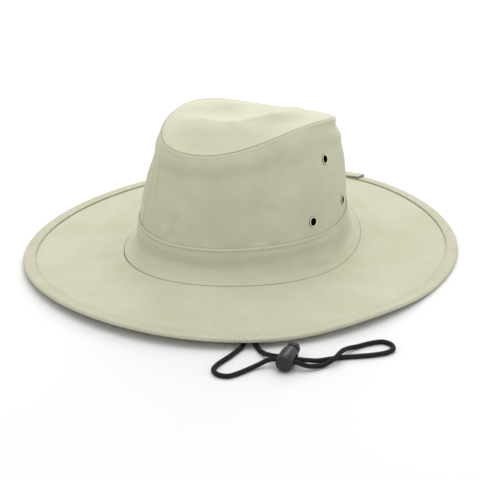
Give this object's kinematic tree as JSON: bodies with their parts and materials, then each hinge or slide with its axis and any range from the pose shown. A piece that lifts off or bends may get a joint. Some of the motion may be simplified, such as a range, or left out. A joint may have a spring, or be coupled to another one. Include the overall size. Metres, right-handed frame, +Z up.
{
  "type": "wide-brim hat",
  "caption": "Wide-brim canvas sun hat: soft creased crown with eyelets, sewn band, bound brim, and a chin cord loop with a sliding barrel lock.",
  "frame": {"origin": "on the surface that the hat rests on, under the middle of the brim's outline", "axes": "+Z up; the front of the hat points along -Y and the wearer's left along +X; the brim is longest along Y"},
  "size_m": [0.3853, 0.3824, 0.1257],
  "materials": {
    "canvas": "stone-coloured cotton canvas, matt twill weave",
    "binding": "folded bias ribbon of the same cotton, matt",
    "eyelet_brass": "antique brass, pressed",
    "cord": "black braided cord",
    "lock_plastic": "black moulded plastic, satin gloss"
  },
  "bodies": {
    "hat": {"crown_tip": "canvas", "crown_side": "canvas", "crown_band": "canvas", "brim": "canvas", "brim_binding": "binding", "eyelet_left_top": "eyelet_brass", "eyelet_left_front": "eyelet_brass", "eyelet_left_back": "eyelet_brass", "eyelet_right_top": "eyelet_brass", "eyelet_right_front": "eyelet_brass", "eyelet_right_back": "eyelet_brass", "cord_tab_left": "canvas", "cord_tab_right": "canvas", "chin_cord": "cord", "cord_lock_body": "lock_plastic"},
    "lock_button": {"cord_lock_button": "lock_plastic"}
  },
  "joints": [
    {"name": "lock_button_press", "type": "slide", "parent": "hat", "child": "lock_button", "axis": [0.3746, -0.9272, 0], "range_m": [0, 0.0025], "stiffness_N_per_m": 400, "springref_m": -0.006}
  ]
}
